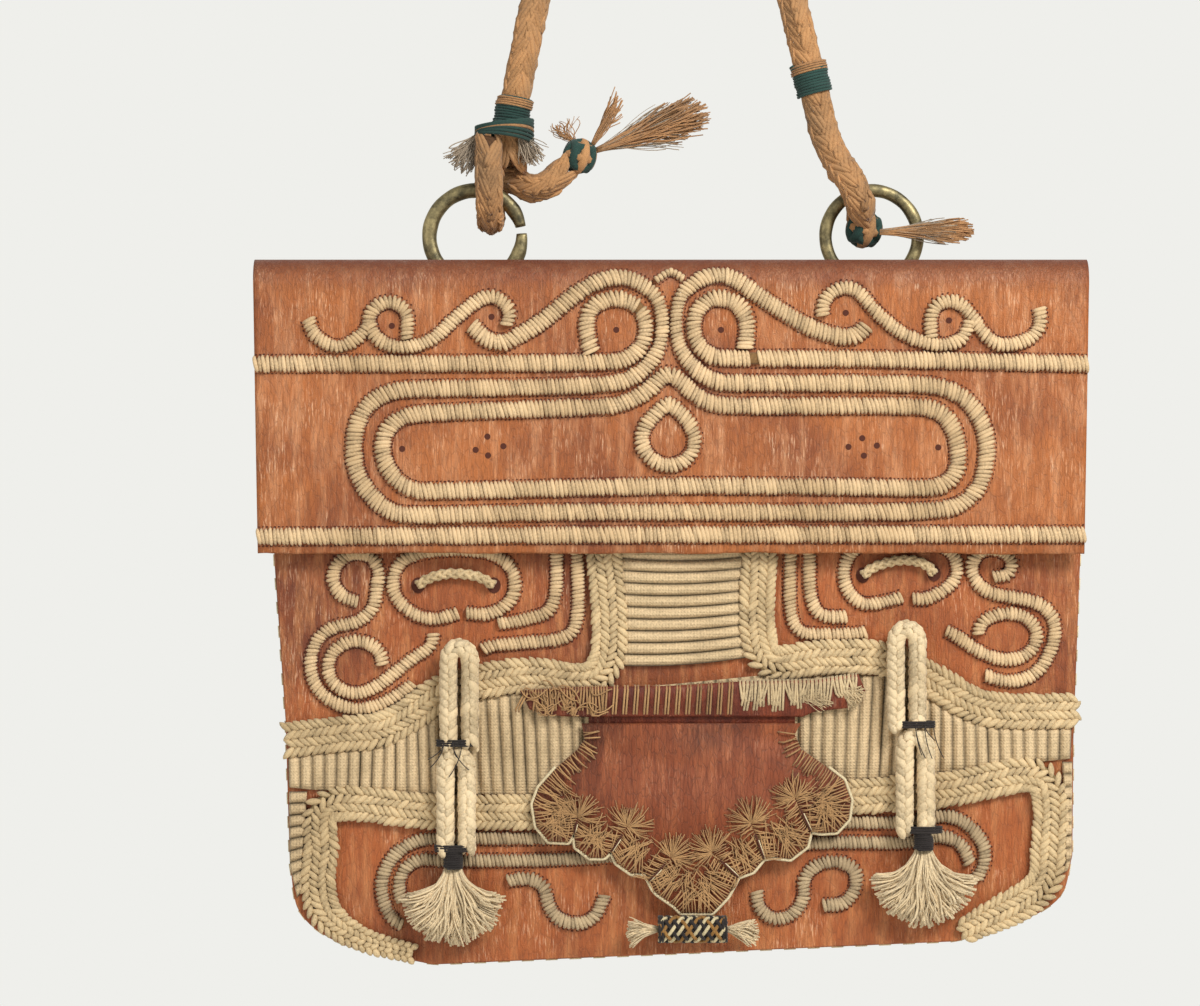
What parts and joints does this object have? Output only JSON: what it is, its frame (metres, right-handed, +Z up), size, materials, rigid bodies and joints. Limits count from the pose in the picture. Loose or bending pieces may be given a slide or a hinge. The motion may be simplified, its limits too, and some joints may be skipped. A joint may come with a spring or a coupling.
{
  "type": "shoulder bag",
  "caption": "Flat leather shoulder bag with a cord-embroidered flap, plaited and ribbed front, hanging cord pendants, a scalloped tag and a plaited rope strap on metal rings.",
  "frame": {"origin": "where the underside of the strap's top bears on a peg, midway through the rope's thickness", "axes": "+Z up, the bag's front faces -Y, +X to the right seen from the front"},
  "size_m": [0.279, 0.0529, 0.4583],
  "materials": {
    "leather": "worn, fine cracked grain with a soft shine",
    "leather_dark": "dark red-brown, matt",
    "couched_cord": "satin-stitched pale thread",
    "plaited_cord": "plaited pale cotton",
    "rib_cord": "cloth-covered cords side by side",
    "rope": "plaited tan fibre, greyed at its ends",
    "whipping_thread": "dark green bound thread",
    "ring_metal": "dull, dark with age",
    "tag_thread": "tan thread laid side by side",
    "toggle_thread": "woven dark, ivory and ochre thread"
  },
  "bodies": {
    "strap": {"strap_rope": "rope", "strap_hitch_left": "rope", "strap_whipping_left": "whipping_thread", "strap_whipping_right": "whipping_thread", "strap_knot_left": "whipping_thread", "strap_knot_right": "whipping_thread", "strap_fray_left": "rope", "strap_fray_right": "rope"},
    "ring_left": {"ring_left": "ring_metal"},
    "ring_right": {"ring_right": "ring_metal"},
    "bag": {"back_panel": "leather", "front_panel": "leather", "gusset": "leather_dark", "ring_tab_left": "leather_dark", "ring_tab_right": "leather_dark", "plait_upper_left": "plaited_cord", "plait_upper_right": "plaited_cord", "plait_lower": "plaited_cord", "ribs_centre": "rib_cord", "ribs_lower": "rib_cord", "ribs_side_left": "rib_cord", "ribs_side_right": "rib_cord", "front_frame_left": "couched_cord", "front_frame_right": "couched_cord", "front_scroll_left": "couched_cord", "front_scroll_right": "couched_cord", "front_volute_left": "couched_cord", "front_volute_right": "couched_cord", "front_step_upper_left": "couched_cord", "front_step_upper_right": "couched_cord", "front_step_lower_left": "couched_cord", "front_step_lower_right": "couched_cord", "front_lower_outer": "couched_cord", "front_lower_inner": "couched_cord", "front_lower_scroll_left": "couched_cord", "front_lower_scroll_right": "couched_cord", "bar_cord_left": "plaited_cord", "bar_cord_right": "plaited_cord", "tag_strip": "leather_dark"},
    "flap": {"flap_leather": "leather", "flap_cord_upper_left": "couched_cord", "flap_cord_upper_right": "couched_cord", "flap_cord_outer": "couched_cord", "flap_cord_inner": "couched_cord", "flap_vine_left": "couched_cord", "flap_vine_right": "couched_cord", "flap_teardrop": "couched_cord", "flap_peak": "couched_cord", "flap_cord_lower": "couched_cord"},
    "tag": {"tag_leaf": "leather_dark", "tag_edging": "tag_thread", "toggle_knot": "toggle_thread", "toggle_tuft_left": "plaited_cord", "toggle_tuft_right": "plaited_cord"},
    "pendant_left": {"pendant_left_upper": "plaited_cord", "pendant_left_lower": "plaited_cord", "pendant_left_tassel": "plaited_cord"},
    "pendant_right": {"pendant_right_upper": "plaited_cord", "pendant_right_lower": "plaited_cord", "pendant_right_tassel": "plaited_cord"}
  },
  "joints": [
    {"name": "ring_left_swing", "type": "hinge", "parent": "strap", "child": "ring_left", "pos_m": [-0.0572, 0, -0.1868], "axis": [1, 0, 0], "range_deg": [-9, 20]},
    {"name": "ring_right_swing", "type": "hinge", "parent": "strap", "child": "ring_right", "pos_m": [0.0666, 0, -0.1875], "axis": [1, 0, 0], "range_deg": [-9, 20]},
    {"name": "bag_swing", "type": "hinge", "parent": "ring_left", "child": "bag", "pos_m": [-0.0622, 0, -0.2176], "axis": [1, 0, 0], "range_deg": [-20, 40]},
    {"name": "flap_lift", "type": "hinge", "parent": "bag", "child": "flap", "pos_m": [0.0041, -0.0061, -0.21395], "axis": [-1, 0, 0], "range_deg": [0, 60]},
    {"name": "tag_swing", "type": "hinge", "parent": "bag", "child": "tag", "pos_m": [0.0041, -0.0312, -0.3657], "axis": [-1, 0, 0], "range_deg": [0, 75]},
    {"name": "pendant_left_swing", "type": "hinge", "parent": "bag", "child": "pendant_left", "pos_m": [-0.0666, -0.033, -0.3412], "axis": [-1, 0, 0], "range_deg": [0, 80]},
    {"name": "pendant_right_swing", "type": "hinge", "parent": "bag", "child": "pendant_right", "pos_m": [0.0827, -0.033, -0.335], "axis": [-1, 0, 0], "range_deg": [0, 80]}
  ],
  "couplings": [
    {"joint": "ring_right_swing", "follows": "ring_left_swing", "ratio": 1}
  ]
}
